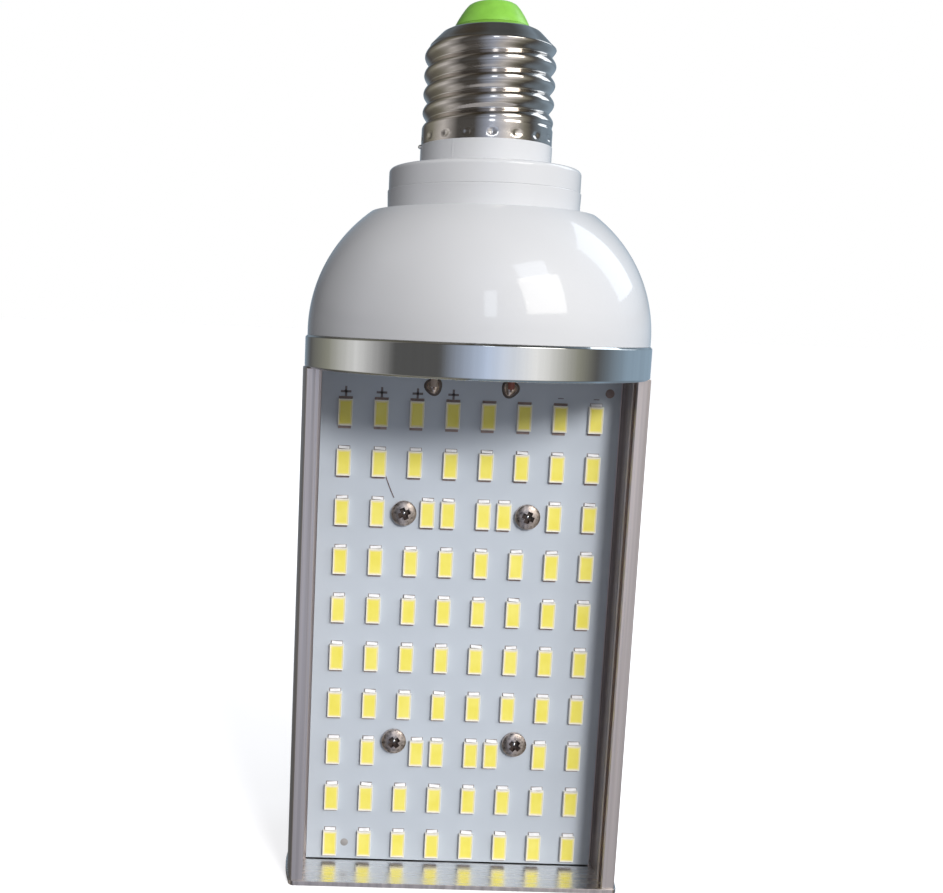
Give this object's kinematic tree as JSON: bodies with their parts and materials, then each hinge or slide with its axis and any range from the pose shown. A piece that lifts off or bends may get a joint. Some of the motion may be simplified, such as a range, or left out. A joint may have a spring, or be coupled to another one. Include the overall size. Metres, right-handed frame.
{
  "type": "corn led bulb",
  "caption": "One-sided LED lamp: finned aluminium body with a flat LED board between its side walls, a dome housing and a screw cap that turns on the housing.",
  "frame": {"origin": "on the lamp's axis, at the end plate's underside", "axes": "+Z along the axis to the screw cap, -Y towards the LED side"},
  "size_m": [0.072, 0.0713, 0.184],
  "materials": {
    "sink_metal": "satin extruded aluminium",
    "polished_metal": "polished turned aluminium",
    "white_board": "white solder mask on an aluminium core",
    "grey_pad": "soft matt pad",
    "led_phosphor": "yellow silicone in a white case",
    "screw_steel": "plated",
    "solder": "bright solder",
    "pale_lead": "smooth insulation",
    "red_lead": "smooth insulation",
    "white_plastic": "glossy moulding",
    "spring_steel": "plated",
    "nickel": "nickel plated",
    "green_plastic": "glossy moulding",
    "green_board": "matt",
    "nylon": "matt moulding",
    "ferrite": "dark sintered",
    "yellow_tape": "taped winding",
    "black_sleeve": "shrink sleeve",
    "black_moulding": "matt moulding"
  },
  "bodies": {
    "lamp_body": {"end_plate": "sink_metal", "heat_sink": "sink_metal", "led_board": "white_board", "thermal_pad": "grey_pad", "led_row_01": "led_phosphor", "led_row_02": "led_phosphor", "led_row_03": "led_phosphor", "led_row_04": "led_phosphor", "led_row_05": "led_phosphor", "led_row_06": "led_phosphor", "led_row_07": "led_phosphor", "led_row_08": "led_phosphor", "led_row_09": "led_phosphor", "led_row_10": "led_phosphor", "board_screws": "screw_steel", "end_plate_screws": "screw_steel", "cup_screws": "screw_steel", "cup_ring": "polished_metal", "solder_joints": "solder", "negative_lead": "pale_lead", "positive_lead": "red_lead", "dome_housing": "white_plastic", "driver_board": "green_board", "board_standoffs": "nylon", "standoff_screws": "screw_steel", "transformer_core": "ferrite", "transformer_winding": "yellow_tape", "bulk_capacitor": "black_sleeve", "output_capacitor": "black_sleeve", "bridge_rectifier": "black_moulding", "control_chip": "black_moulding", "filter_choke": "ferrite", "fuse_resistor": "green_board"},
    "cap": {"centre_contact": "nickel", "cap_insulator": "green_plastic", "screw_shell": "nickel", "swivel_neck": "white_plastic", "swivel_clip": "spring_steel", "line_lead": "black_moulding", "neutral_lead": "pale_lead"}
  },
  "joints": [
    {"name": "cap_swivel", "type": "hinge", "parent": "lamp_body", "child": "cap", "pos_m": [0, 0, 0.146], "axis": [0, 0, 1], "range_deg": [-160, 160]}
  ]
}
